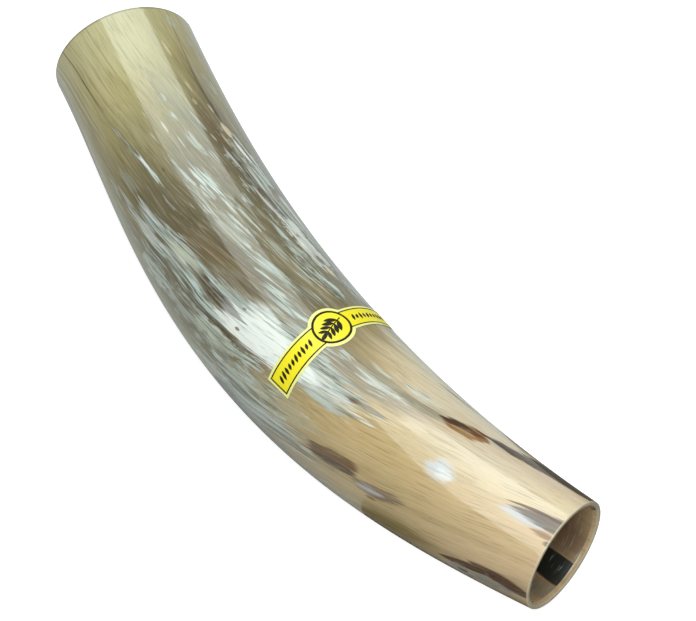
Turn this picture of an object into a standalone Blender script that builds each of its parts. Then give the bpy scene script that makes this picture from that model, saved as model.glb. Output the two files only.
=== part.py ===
"""Ox-horn call: a polished, hollow horn, sawn square and open at both ends, with a paper label.

The horn is turned straight about +Z as a closed wall profile, and then every point is carried
onto the curved centreline.  The label is a flat banner, wrapped onto the horn by the same rule.
The finished horn lies on its side as it would rest on a table, with its ends in line along +X
and the middle of its bounding box's floor at the origin.
"""
from math import comb, cos, pi, radians, sin, sqrt

import bmesh
import bpy
from mathutils import Matrix, Vector

OBJECT_NAME = "ox_horn_call"

# Horn body.  u runs along the centreline, from 0 at the large end to 1 at the small mouth.
HORN_LENGTH = 0.336
OUTER_RADII = (0.0320, 0.0305, 0.0380, 0.0390, 0.0305, 0.0260)
WALLS = (0.0026, 0.0054, 0.0032)
BEND = radians(33.0)
BEND_BIAS = -0.6
LARGE_END_SLANT = 0.060
MOUTH_SLANT = 0.035
SLANT_REACH = 0.15

# Rims: a small bevel on every sawn edge, and a wider one where the mouth was reamed.
EDGE_BEVEL = 0.0005
MOUTH_CHAMFER = 0.0012
MOUTH_CHAMFER_DEPTH = 0.0020

# Label: a roundel in the middle of a banner that bows a little towards the mouth.
ROUNDEL_RADIUS = 0.0102
BANNER_LENGTH = 0.072
BANNER_WIDTH = 0.0122
LABEL_STATION = 0.2016
LABEL_ANGLE = radians(88.5)
LABEL_TILT = radians(1.6)
LABEL_BOW = 1.36
LABEL_THICKNESS = 0.00025
LABEL_GAP = 0.0003

# Pose on the table: the bend lies over to one side until three points of the wall touch.
REST_ROLL = radians(-12.75)
REST_PITCH = radians(1.06)

# Fineness of the facets.
STEPS_ROUND = 56
OUTER_STATIONS = 28
BORE_STATIONS = 20
CENTRELINE_STEPS = 400
BANNER_COLUMNS = 14
ROUNDEL_COLUMNS = 18
LABEL_ROWS = 4
MERGE_DISTANCE = 0.00001


def bernstein(controls, u):
    """Smooth value at u of the polynomial that the control values steer."""
    degree = len(controls) - 1
    return sum(comb(degree, i) * u**i * (1 - u) ** (degree - i) * c for i, c in enumerate(controls))


def outer_radius(station):
    return bernstein(OUTER_RADII, station / HORN_LENGTH)


def bore_radius(station):
    return outer_radius(station) - bernstein(WALLS, station / HORN_LENGTH)


def heading(u):
    """Direction of the centreline in the bend's plane, measured from +X and zero on average."""
    eased = 3 * u**2 - 2 * u**3 + BEND_BIAS * u * (1 - u)
    average = 0.5 + BEND_BIAS / 6
    return BEND * (eased - average)


def centreline():
    """Points of the centreline at even steps, found by adding up its headings."""
    step = HORN_LENGTH / CENTRELINE_STEPS
    points = [Vector((0, 0, 0))]
    for i in range(CENTRELINE_STEPS):
        angle = heading((i + 0.5) / CENTRELINE_STEPS)
        points.append(points[-1] + step * Vector((cos(angle), sin(angle), 0)))
    return points


CENTRELINE = centreline()


def end_slant(u):
    """How far a section leans along the horn, per unit of distance towards the bend's inside."""
    at_large_end = max(0.0, 1 - u / SLANT_REACH) ** 2
    at_mouth = max(0.0, 1 - (1 - u) / SLANT_REACH) ** 2
    return LARGE_END_SLANT * at_large_end + MOUTH_SLANT * at_mouth


def bend_point(straight):
    """Carry a point of the straight horn about +Z onto the curved horn.

    Straight +X becomes the inside of the bend, straight +Y becomes up.
    """
    u = straight.z / HORN_LENGTH
    place = min(max(u, 0.0), 1.0) * CENTRELINE_STEPS
    index = min(int(place), CENTRELINE_STEPS - 1)
    centre = CENTRELINE[index].lerp(CENTRELINE[index + 1], place - index)
    angle = heading(u)
    along = Vector((cos(angle), sin(angle), 0))
    inward = Vector((-sin(angle), cos(angle), 0))
    lean = end_slant(u) * straight.x
    return centre + inward * straight.x + Vector((0, 0, straight.y)) + along * lean


def wall_profile():
    """Closed outline of the wall: down the outer side from the mouth, and back up the bore."""
    length = HORN_LENGTH
    first, last = EDGE_BEVEL, length - EDGE_BEVEL
    outer = [last + (first - last) * i / OUTER_STATIONS for i in range(OUTER_STATIONS + 1)]
    bore_top = length - MOUTH_CHAMFER_DEPTH
    bore = [first + (bore_top - first) * i / BORE_STATIONS for i in range(BORE_STATIONS + 1)]
    points = [(outer_radius(length) - EDGE_BEVEL, length)]
    points += [(outer_radius(s), s) for s in outer]
    points += [(outer_radius(0) - EDGE_BEVEL, 0), (bore_radius(0) + EDGE_BEVEL, 0)]
    points += [(bore_radius(s), s) for s in bore]
    points += [(bore_radius(length) + MOUTH_CHAMFER, length)]
    return points


def make_material(name, colour, roughness):
    material = bpy.data.materials.new(name)
    material.use_nodes = True
    shader = material.node_tree.nodes["Principled BSDF"]
    shader.inputs["Base Color"].default_value = (*colour, 1)
    shader.inputs["Roughness"].default_value = roughness
    shader.inputs["Metallic"].default_value = 0.0
    material.diffuse_color = (*colour, 1)
    return material


def add_object(name, mesh, collection, material=None):
    obj = bpy.data.objects.new(name, mesh)
    collection.objects.link(obj)
    if material:
        mesh.materials.clear()
        mesh.materials.append(material)
    return obj


def make_horn(collection):
    """The horn: its wall profile turned about +Z with Screw, then bent onto the centreline."""
    profile = wall_profile()
    mesh = bpy.data.meshes.new("horn_profile")
    edges = [(i, (i + 1) % len(profile)) for i in range(len(profile))]
    mesh.from_pydata([(r, 0, s) for r, s in profile], edges, [])
    turned = add_object("horn_profile", mesh, collection)
    screw = turned.modifiers.new("turn", "SCREW")
    screw.angle = 2 * pi
    screw.steps = STEPS_ROUND
    screw.render_steps = STEPS_ROUND
    screw.use_merge_vertices = True
    screw.merge_threshold = MERGE_DISTANCE
    bpy.context.view_layer.update()
    depsgraph = bpy.context.evaluated_depsgraph_get()
    horn_mesh = bpy.data.meshes.new_from_object(turned.evaluated_get(depsgraph))
    horn_mesh.name = "horn"
    bpy.data.objects.remove(turned)
    for vertex in horn_mesh.vertices:
        vertex.co = bend_point(vertex.co)
    horn_mesh.shade_smooth()
    horn_mesh.set_sharp_from_angle(angle=radians(30))
    return add_object("horn", horn_mesh, collection, make_material("horn", (0.33, 0.25, 0.15), 0.15))


def label_half_height(x):
    """Half the label's height at x: the roundel's circle where it is taller than the banner."""
    circle = sqrt(max(0.0, ROUNDEL_RADIUS**2 - x**2))
    return max(circle, BANNER_WIDTH / 2)


def label_columns():
    """Column positions across the label, with one on each corner of roundel and banner."""
    corner = sqrt(ROUNDEL_RADIUS**2 - (BANNER_WIDTH / 2) ** 2)
    end = BANNER_LENGTH / 2
    arm = [corner + (end - corner) * i / BANNER_COLUMNS for i in range(1, BANNER_COLUMNS + 1)]
    middle = [corner * cos(pi * i / ROUNDEL_COLUMNS) for i in range(ROUNDEL_COLUMNS, -1, -1)]
    return [-x for x in reversed(arm)] + middle + arm


def wrap_point(x, y):
    """Carry a point of the flat label onto the horn, just clear of its wall.

    x runs round the horn and y along it, from the roundel's centre. The bow carries both ends
    of the banner along the horn, by the square of their distance from the middle.
    """
    y += LABEL_BOW * x**2
    round_way = x * cos(LABEL_TILT) - y * sin(LABEL_TILT)
    station = LABEL_STATION + x * sin(LABEL_TILT) + y * cos(LABEL_TILT)
    radius = outer_radius(station) + LABEL_GAP
    angle = LABEL_ANGLE + round_way / radius
    return bend_point(Vector((radius * cos(angle), radius * sin(angle), station)))


def make_label(collection):
    """The label: a grid shaped to the banner's outline, wrapped and given its thickness."""
    columns = label_columns()
    build = bmesh.new()
    bmesh.ops.create_grid(build, x_segments=len(columns) - 1, y_segments=LABEL_ROWS, size=1.0)
    for vertex in build.verts:
        column = round((vertex.co.x + 1) / 2 * (len(columns) - 1))
        x = columns[column]
        y = vertex.co.y * label_half_height(x)
        vertex.co = wrap_point(x, y)
    bmesh.ops.recalc_face_normals(build, faces=build.faces)
    if build.faces[0].normal.z < 0:
        bmesh.ops.reverse_faces(build, faces=build.faces)
    mesh = bpy.data.meshes.new("label")
    build.to_mesh(mesh)
    build.free()
    label = add_object("label", mesh, collection, make_material("label", (0.95, 0.80, 0.03), 0.45))
    solidify = label.modifiers.new("thickness", "SOLIDIFY")
    solidify.thickness = LABEL_THICKNESS
    solidify.offset = 1.0
    return label


def lay_on_table(horn, pieces, collection):
    """Turn the pieces to their resting pose, with the horn's box centred on the origin."""
    turn = Matrix.Rotation(REST_PITCH, 4, "Y") @ Matrix.Rotation(REST_ROLL, 4, "X")
    corners = [turn @ vertex.co for vertex in horn.data.vertices]
    low = Vector([min(c[axis] for c in corners) for axis in range(3)])
    high = Vector([max(c[axis] for c in corners) for axis in range(3)])
    rest = bpy.data.objects.new("rest_pose", None)
    collection.objects.link(rest)
    rest.matrix_world = Matrix.Translation((-(low.x + high.x) / 2, -(low.y + high.y) / 2, -low.z)) @ turn
    for piece in pieces:
        piece.parent = rest


def main():
    for obj in list(bpy.data.objects):
        bpy.data.objects.remove(obj)
    collection = bpy.data.collections.new(OBJECT_NAME)
    bpy.context.scene.collection.children.link(collection)
    horn = make_horn(collection)
    label = make_label(collection)
    lay_on_table(horn, [horn, label], collection)


main()
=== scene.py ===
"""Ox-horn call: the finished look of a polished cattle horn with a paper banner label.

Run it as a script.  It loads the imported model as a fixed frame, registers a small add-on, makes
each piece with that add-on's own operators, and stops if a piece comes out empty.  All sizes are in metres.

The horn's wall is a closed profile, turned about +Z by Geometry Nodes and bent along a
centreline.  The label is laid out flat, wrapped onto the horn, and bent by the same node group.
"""
from collections import namedtuple
from math import cos, pi, radians, sin

import bpy
from bpy.props import FloatProperty, FloatVectorProperty, IntProperty, PointerProperty
from mathutils import Matrix, Vector


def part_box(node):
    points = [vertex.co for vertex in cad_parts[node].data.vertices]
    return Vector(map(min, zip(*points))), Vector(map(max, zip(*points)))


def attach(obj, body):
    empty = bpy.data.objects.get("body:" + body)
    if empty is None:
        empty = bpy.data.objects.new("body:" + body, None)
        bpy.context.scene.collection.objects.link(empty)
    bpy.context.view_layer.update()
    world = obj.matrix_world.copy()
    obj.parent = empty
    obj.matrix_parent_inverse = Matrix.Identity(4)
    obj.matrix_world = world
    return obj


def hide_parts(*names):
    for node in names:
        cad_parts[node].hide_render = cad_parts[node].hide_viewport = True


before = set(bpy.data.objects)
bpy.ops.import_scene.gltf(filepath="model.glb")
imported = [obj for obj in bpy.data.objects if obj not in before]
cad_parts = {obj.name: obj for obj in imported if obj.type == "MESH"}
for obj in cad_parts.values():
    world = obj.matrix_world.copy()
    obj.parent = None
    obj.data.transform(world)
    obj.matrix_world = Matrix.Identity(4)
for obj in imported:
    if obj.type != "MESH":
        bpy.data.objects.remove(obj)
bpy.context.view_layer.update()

bl_info = {
    "name": "Ox-Horn Call",
    "version": (1, 0, 0),
    "blender": (4, 5, 0),
    "location": "3D Viewport > Sidebar > Horn Call",
    "description": "Makes a polished ox-horn call with a wrapped paper label",
    "category": "Add Mesh",
}

MM = 0.001
MERGE_DISTANCE = 0.000001

# ---------------------------------------------------------------- settings

# The horn's colours: what each one is, and its value.
PAINTS = {
    "khaki": ("Translucent horn near the large end", (0.525, 0.442, 0.206)),
    "olive": ("Darker horn over the belly", (0.185, 0.152, 0.088)),
    "tan": ("Warm horn past the belly", (0.56, 0.40, 0.20)),
    "peach": ("Pale warm horn at the mouth", (0.72, 0.50, 0.29)),
    "cream": ("Palest horn", (0.80, 0.66, 0.46)),
    "milk": ("Thin milky streaks", (0.66, 0.75, 0.71)),
    "white": ("Dense milky streaks", (0.92, 0.91, 0.86)),
    "umber": ("Dark pigment", (0.060, 0.032, 0.018)),
    "maroon": ("Red-black pigment", (0.104, 0.040, 0.022)),
    "rust": ("Red-brown pigment", (0.25, 0.095, 0.032)),
    "slate": ("Cool grey under the milk", (0.17, 0.16, 0.115)),
    "black": ("Black pigment in the bore", (0.010, 0.014, 0.011)),
    "straw": ("Pale yellow horn at the large end", (0.64, 0.58, 0.34)),
    "honey": ("Warm glow past the belly", (0.56, 0.38, 0.17)),
    "amber": ("Deep yellow-brown horn", (0.235, 0.165, 0.035)),
    # grey is a painted sheen: the grey-green lift over the top of the large end
    "grey": ("Grey-green horn at the large end", (0.42, 0.44, 0.33)),
    "bark": ("Brown pigment", (0.30, 0.135, 0.045)),
    "pit": ("Small pits", (0.20, 0.10, 0.06)),
    "mauve": ("Dull purple-brown pigment", (0.15, 0.10, 0.08)),
    "mist": ("Bluish white clouds", (0.61, 0.62, 0.66)),
    "tongue": ("Brown horn between the milky streaks", (0.185, 0.135, 0.075)),
    "haze": ("Thin veil round the white flash", (0.44, 0.48, 0.44)),
    "shell": ("Pinkish horn near the mouth", (0.74, 0.62, 0.52)),
    "smoke": ("Grey-brown veils", (0.20, 0.195, 0.145)),
    "pale": ("Pale yellow-grey streaks", (0.62, 0.63, 0.50)),
}


def number(name, description, default, **limits):
    return FloatProperty(name=name, description=description, default=default, **limits)


def count(name, description, default, least):
    return IntProperty(name=name, description=description, default=default, min=least)


def length(name, description, default):
    return number(name, description, default, unit="LENGTH", precision=5)


def lengths(name, description, *default):
    return FloatVectorProperty(
        name=name, description=description, default=default, size=len(default), unit="LENGTH", precision=5
    )


def angle(name, description, degrees):
    return number(name, description, radians(degrees), subtype="ANGLE")


def colour(name, description, default):
    return FloatVectorProperty(
        name=name, description=description, default=default, subtype="COLOR", size=3, min=0.0, max=1.0
    )


class HornShape(bpy.types.PropertyGroup):
    """Sizes of the horn itself."""

    horn_length: length("Length", "Length along the centreline", 0.336)
    radii: lengths(
        "Outer Radii", "Control radii from the large end to the mouth, which a smooth curve follows",
        0.0320, 0.0305, 0.0380, 0.0390, 0.0305, 0.0260,
    )
    walls: lengths("Wall", "Control wall thicknesses from the large end to the mouth", 0.0026, 0.0054, 0.0032)
    bend: angle("Bend", "How far the centreline turns from end to end", 33.0)
    bend_bias: number("Bend Bias", "Moves the bend towards the mouth when negative", -0.6)
    large_end_slant: number("Large End Slant", "Lean of the saw cut at the large end", 0.060)
    mouth_slant: number("Mouth Slant", "Lean of the saw cut at the mouth", 0.035)
    slant_reach: number("Slant Reach", "Share of the length that each saw cut leans", 0.15)
    edge_radius: length("Edge Radius", "Rounding of the sawn edges", 0.0005)
    mouth_chamfer: length("Mouth Chamfer", "Width of the reamed band inside the mouth", 0.0012)
    chamfer_depth: length("Chamfer Depth", "Depth of the reamed band inside the mouth", 0.0020)
    waviness: length("Waviness", "Height of the gentle unevenness left by hand polishing", 0.00016)
    rest_roll: angle("Rest Roll", "Turn about the length in which the horn lies on a table", -12.75)
    rest_pitch: angle("Rest Pitch", "Tip of the length in which the horn lies on a table", 1.06)
    steps_round: count("Steps Round", "Facets round the horn", 176, 24)
    outer_rows: count("Outer Rows", "Rows along the outer wall", 150, 20)
    bore_rows: count("Bore Rows", "Rows along the bore", 70, 10)
    edge_steps: count("Edge Steps", "Steps round each sawn edge", 5, 2)
    placement: lengths("Placement", "Where the frame's horn stands", 0.0, 0.0, 0.0)


class HornColours(bpy.types.PropertyGroup):
    """Colours of the horn."""

    __annotations__ = {name: colour(name.title(), *about) for name, about in PAINTS.items()}


class LabelSettings(bpy.types.PropertyGroup):
    """Sizes and colours of the paper label and its print."""

    roundel_radius: length("Roundel Radius", "Radius of the label's round middle", 0.0102)
    banner_length: length("Banner Length", "Length of the label round the horn", 0.072)
    banner_width: length("Banner Width", "Width of the label's arms", 0.0122)
    station: length("Station", "Where the label's middle lies along the horn", 0.2016)
    angle: angle("Angle", "Where the label's middle lies round the horn", 88.5)
    tilt: angle("Tilt", "How far the label is askew", 1.6)
    bow: number("Bow", "How far the banner curves towards the mouth", 1.36)
    thickness: length("Thickness", "Thickness of the paper", 0.00016)
    ink_height: length("Ink Height", "How far the print stands off the paper", 0.00003)
    margin: length("Margin", "Pale border outside the printed outline", 0.0014)
    ring_margin: length("Ring Margin", "Border outside the printed ring", 0.0020)
    line_width: length("Line Width", "Width of the printed outline", 0.00060)
    ring_width: length("Ring Width", "Width of the printed ring", 0.00105)
    strokes: count("Strokes", "Printed strokes on each arm", 10, 1)
    paper: colour("Paper", "Printed yellow", (0.96, 0.78, 0.012))
    border: colour("Border", "Pale yellow border", (0.90, 0.86, 0.30))
    ink: colour("Ink", "Print", (0.012, 0.010, 0.004))


class StageSettings(bpy.types.PropertyGroup):
    """Floor, lights and camera."""

    azimuth: angle("Azimuth", "Camera's turn round the object; 0 looks along +Y", 67.64)
    elevation: angle("Elevation", "Camera's height above the horizon", 56.25)
    roll: angle("Roll", "Camera's turn about its own axis", -15.39)
    distance: length("Distance", "From the camera to the point it looks at", 2.563)
    aim: lengths("Aim", "Point that the camera looks at", 0.0125, 0.0152, 0.0355)
    lens: number("Lens", "Focal length in millimetres", 310.3, min=1.0)
    floor_size: length("Floor Size", "Side of the square floor", 24.0)
    floor_tone: number("Floor Tone", "Brightness of the floor", 0.46)
    floor_glow: number("Floor Glow", "How far the floor is lifted to white", 0.84)
    dark_card: number("Dark Card", "Brightness of the card under the mouth", 0.10)
    light_card: number("Light Card", "Brightness of the card by the large end", 0.62)
    backdrop: number("Backdrop", "Brightness behind the object", 1.0)
    fill: number("Fill", "Strength of the light from all round", 0.25)
    gloss_fill: number("Gloss Fill", "Brightness of the room in reflections", 0.08)
    panel_height: length("Panel Height", "Height of the diffuser panel over the floor", 0.60)
    panel_tint: colour("Panel Tint", "Colour of the diffuser panel", (0.90, 1.0, 0.98))
    panel_light: number("Panel Light", "Brightness of the diffuser panel", 2.6)


# ---------------------------------------------------------------- node building

class Nodes:
    """Writes a node tree: each call adds one node, or a few, and returns the node or its result."""

    def __init__(self, tree):
        self.tree = tree

    def feed(self, node, inputs):
        """Links or sets each input that is given for a node."""
        for key, value in inputs.items():
            if isinstance(value, bpy.types.NodeSocket):
                self.tree.links.new(value, node.inputs[key])
            else:
                node.inputs[key].default_value = value
        return node

    def add(self, kind, inputs=None, **settings):
        node = self.tree.nodes.new(kind)
        for name, value in settings.items():
            setattr(node, name, value)
        return self.feed(node, inputs or {})

    def group(self, tree, **inputs):
        """A node group with inputs given by their names, with _ for each space."""
        kind = "GeometryNodeGroup" if tree.bl_idname == "GeometryNodeTree" else "ShaderNodeGroup"
        named = {name.replace("_", " "): value for name, value in inputs.items()}
        return self.add(kind, named, node_tree=tree).outputs

    def math(self, operation, *values, clamp=False):
        return self.add("ShaderNodeMath", dict(enumerate(values)), operation=operation, use_clamp=clamp).outputs[0]

    def times(self, a, b):
        return self.math("MULTIPLY", a, b)

    def minus(self, a, b, clamp=False):
        return self.math("SUBTRACT", a, b, clamp=clamp)

    def fused(self, a, b, c):
        """a times b, plus c."""
        return self.math("MULTIPLY_ADD", a, b, c)

    def vector(self, operation, *values):
        return self.add("ShaderNodeVectorMath", dict(enumerate(values)), operation=operation).outputs["Vector"]

    def scaled(self, vector, factor):
        return self.add("ShaderNodeVectorMath", {0: vector, "Scale": factor}, operation="SCALE").outputs[0]

    def combine(self, x=0.0, y=0.0, z=0.0):
        return self.add("ShaderNodeCombineXYZ", {"X": x, "Y": y, "Z": z}).outputs[0]

    def separate(self, vector):
        return self.add("ShaderNodeSeparateXYZ", {0: vector}).outputs

    def circle(self, turn):
        """The unit vector at an angle about Z."""
        return self.combine(self.math("COSINE", turn), self.math("SINE", turn))

    def mix(self, factor, a, b):
        return self.add("ShaderNodeMix", {0: factor, 2: a, 3: b}, data_type="FLOAT").outputs[0]

    def mix_colour(self, factor, a, b):
        a, b = (value if isinstance(value, bpy.types.NodeSocket) else (*value, 1.0) for value in (a, b))
        return self.add("ShaderNodeMix", {0: factor, 6: a, 7: b}, data_type="RGBA").outputs[2]

    def smooth(self, value, low, high, to_low=0.0, to_high=1.0):
        """A soft step from to_low to to_high as the value goes from low to high."""
        inputs = {"Value": value, "From Min": low, "From Max": high, "To Min": to_low, "To Max": to_high}
        return self.add("ShaderNodeMapRange", inputs, interpolation_type="SMOOTHSTEP").outputs["Result"]

    def noise(self, vector, scale, detail=2.0, roughness=0.5):
        inputs = {"Vector": vector, "Scale": scale, "Detail": detail, "Roughness": roughness}
        return self.add("ShaderNodeTexNoise", inputs).outputs[0]

    def attribute(self, name):
        """A vector that the mesh keeps for its material."""
        return self.add("ShaderNodeAttribute", attribute_type="GEOMETRY", attribute_name=name).outputs["Vector"]

    def bump(self, height, strength, distance):
        return self.add("ShaderNodeBump", {"Height": height, "Strength": strength, "Distance": distance}).outputs[0]

    def position(self):
        return self.add("GeometryNodeInputPosition").outputs[0]

    def placed(self, geometry, **where):
        """The geometry with its points moved to a Position, or by an Offset."""
        return self.add("GeometryNodeSetPosition", {"Geometry": geometry, **where}).outputs[0]

    def stored(self, geometry, name, value, kind="FLOAT_VECTOR"):
        inputs = {"Geometry": geometry, "Name": name, "Value": value}
        return self.add("GeometryNodeStoreNamedAttribute", inputs, data_type=kind, domain="POINT").outputs[0]

    def number(self, name):
        """A number that each point keeps."""
        return self.add("GeometryNodeInputNamedAttribute", {"Name": name}, data_type="FLOAT").outputs[0]

    def sampled(self, geometry, value, index, kind):
        """What a value is at another geometry's point."""
        inputs = {"Geometry": geometry, "Value": value, "Index": index}
        return self.add("GeometryNodeSampleIndex", inputs, data_type=kind, domain="POINT").outputs[0]

    def moved(self, geometry, offset=(0.0, 0.0, 0.0), turn=0.0, height=1.0):
        return self.add("GeometryNodeTransform", {
            "Geometry": geometry, "Translation": offset, "Rotation": (0.0, 0.0, turn),
            "Scale": self.combine(1.0, 1.0, height),
        }).outputs[0]

    def joined(self, *parts):
        node = self.add("GeometryNodeJoinGeometry")
        for part in parts:
            self.tree.links.new(part, node.inputs[0])
        return node.outputs[0]

    def slab(self, size, grid):
        """A thin closed block about the origin, with rows of points to bend it by."""
        rows = {f"Vertices {axis}": points for axis, points in zip("XYZ", grid)}
        return self.add("GeometryNodeMeshCube", {"Size": size, **rows}).outputs["Mesh"]

    def finished(self, geometry, material):
        """What each tree ends in: real geometry with its material."""
        real = self.add("GeometryNodeRealizeInstances", {"Geometry": geometry}).outputs[0]
        return self.add("GeometryNodeSetMaterial", {"Geometry": real, "Material": material}).outputs[0]


FLOAT, INT, VECTOR = "NodeSocketFloat", "NodeSocketInt", "NodeSocketVector"
GEOMETRY, MATERIAL = "NodeSocketGeometry", "NodeSocketMaterial"


def floats(*names):
    return dict.fromkeys(names, FLOAT)


RADII = floats(*(f"Radius {i}" for i in range(6)))
CURVE = floats("Length", "Bend", "Bend Bias", "Large End Slant", "Mouth Slant", "Slant Reach")
WRAP = {**floats("Station", "Angle", "Tilt", "Bow"), **RADII, **CURVE}
PAPER_SIZES = floats("Banner Length", "Banner Width", "Roundel Radius", "Thickness")
PRINT_SIZES = {
    **floats("Banner Length", "Banner Width", "Roundel Radius", "Margin", "Line Width", "Ring Margin", "Ring Width",
             "Ink Height"),
    "Strokes": INT,
}


def new_tree(name, kind, inputs, outputs):
    """An empty node tree with named sockets: (tree, its writer, inputs, the output node)."""
    tree = bpy.data.node_groups.new(name, kind)
    for sockets, side in ((inputs, "INPUT"), (outputs, "OUTPUT")):
        for socket, socket_type in sockets.items():
            tree.interface.new_socket(name=socket, in_out=side, socket_type=socket_type)
    given = tree.nodes.new("NodeGroupInput").outputs
    return tree, Nodes(tree), given, tree.nodes.new("NodeGroupOutput")


def pick(given, names):
    """The named inputs of a tree, ready to pass on to a group inside it."""
    return {name.replace(" ", "_"): given[name] for name in names}


# ---------------------------------------------------------------- geometry node groups

CENTRELINE_STEPS = 240

# Fineness of the label's flat shapes: points along, across and through each of them.
BANNER_GRID = (320, 9, 2)
RAIL_GRID = (60, 2, 2)
CAP_GRID = (2, 12, 2)
STROKE_GRID = (9, 5, 2)
BLADE_GRID = (17, 7, 2)
STALK_GRID = (14, 2, 2)
RING_STEPS = 96

# Each arm's row of strokes: where it starts and how much of the arm it fills, one stroke's size
# before it takes the ink's height, and how the strokes vary in length and slant.
ROW_START, ROW_SHARE = 0.19, 0.78
STROKE_SIZE = (4.0 * MM, 1.35 * MM, 1.0)
STROKE_SCALES = {2: 0.72, 3: 1.12, "Seed": 4}
STROKE_SLANTS = {2: 1.15, 3: 1.40, "Seed": 9}

# The roundel's sprig: pairs of leaf blades along a stalk, each pair smaller than the one before.
SPRIG_TURN = radians(20)
BLADE_PAIRS, BLADE_SPACING, FIRST_PAIR = 4, 2.5 * MM, -4.6 * MM
BLADE_SIZE, BLADE_REACH, BLADE_TURN = (5.4 * MM, 1.9 * MM, 1.0), 2.8 * MM, radians(48)
FIRST_SCALE, SCALE_STEP = 1.12, -0.10
STALK_LENGTH, STALK_WIDTH, STALK_MIDDLE = 11.5 * MM, 0.55 * MM, -0.6 * MM
TIP_PLACE = 3.2 * MM


def heading_group():
    """Direction of the centreline at a share of its length: an eased turn, zero on average."""
    tree, nodes, given, result = new_tree(
        "Horn Heading", "GeometryNodeTree", floats("Share", "Bend", "Bend Bias"), floats("Heading")
    )
    share, bias = given["Share"], given["Bend Bias"]
    eased = nodes.smooth(share, 0.0, 1.0)
    hump = nodes.times(share, nodes.minus(1.0, share))
    turn = nodes.fused(hump, bias, eased)
    average = nodes.fused(bias, 1 / 6, 0.5)
    nodes.feed(result, {"Heading": nodes.times(nodes.minus(turn, average), given["Bend"])})
    return tree


def radius_group():
    """Outer radius at a share of the length: the six control radii, blended in pairs until one is left."""
    tree, nodes, given, result = new_tree(
        "Horn Radius", "GeometryNodeTree", {**floats("Share"), **RADII}, floats("Radius")
    )
    level = [given[name] for name in RADII]
    while len(level) > 1:
        level = [nodes.mix(given["Share"], a, b) for a, b in zip(level, level[1:])]
    nodes.feed(result, {"Radius": level[0]})
    return tree


def bend_group(heading):
    """Carries a straight horn about +Z onto the curved centreline, saw cuts and all."""
    tree, nodes, given, result = new_tree(
        "Bend Along Horn", "GeometryNodeTree", {"Geometry": GEOMETRY, **CURVE}, {"Geometry": GEOMETRY}
    )
    steps = float(CENTRELINE_STEPS)
    rules = {"Bend": given["Bend"], "Bend_Bias": given["Bend Bias"]}
    index = nodes.add("GeometryNodeInputIndex").outputs[0]
    middle = nodes.math("DIVIDE", nodes.math("ADD", index, 0.5), steps)
    turn = nodes.group(heading, Share=middle, **rules)["Heading"]
    step = nodes.scaled(nodes.circle(turn), nodes.math("DIVIDE", given["Length"], steps))
    summed = nodes.add("GeometryNodeAccumulateField", {0: step}, data_type="FLOAT_VECTOR")
    line = nodes.add("GeometryNodeCurvePrimitiveLine", {"End": (1.0, 0.0, 0.0)}).outputs["Curve"]
    even = nodes.add("GeometryNodeResampleCurve", {"Curve": line, "Count": CENTRELINE_STEPS + 1}).outputs["Curve"]
    centreline = nodes.placed(even, Position=summed.outputs["Trailing"])

    x, y, station = nodes.separate(nodes.position())
    share = nodes.math("DIVIDE", station, given["Length"], clamp=True)
    sample = nodes.add(
        "GeometryNodeSampleCurve", {"Curves": centreline, "Factor": share}, mode="FACTOR", use_all_curves=True
    ).outputs["Position"]
    here = nodes.group(heading, Share=share, **rules)["Heading"]
    cosine, sine = nodes.math("COSINE", here), nodes.math("SINE", here)
    along = nodes.combine(cosine, sine)
    inward = nodes.combine(nodes.times(sine, -1.0), cosine)
    lean = 0.0
    for socket, from_end in (("Large End Slant", share), ("Mouth Slant", nodes.minus(1.0, share))):
        near = nodes.minus(1.0, nodes.math("DIVIDE", from_end, given["Slant Reach"]), clamp=True)
        lean = nodes.fused(nodes.times(near, near), given[socket], lean)
    place = nodes.vector("ADD", sample, nodes.scaled(inward, x))
    place = nodes.vector("ADD", place, nodes.combine(0.0, 0.0, y))
    place = nodes.vector("ADD", place, nodes.scaled(along, nodes.times(lean, x)))
    nodes.feed(result, {"Geometry": nodes.placed(given["Geometry"], Position=place)})
    return tree


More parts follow.
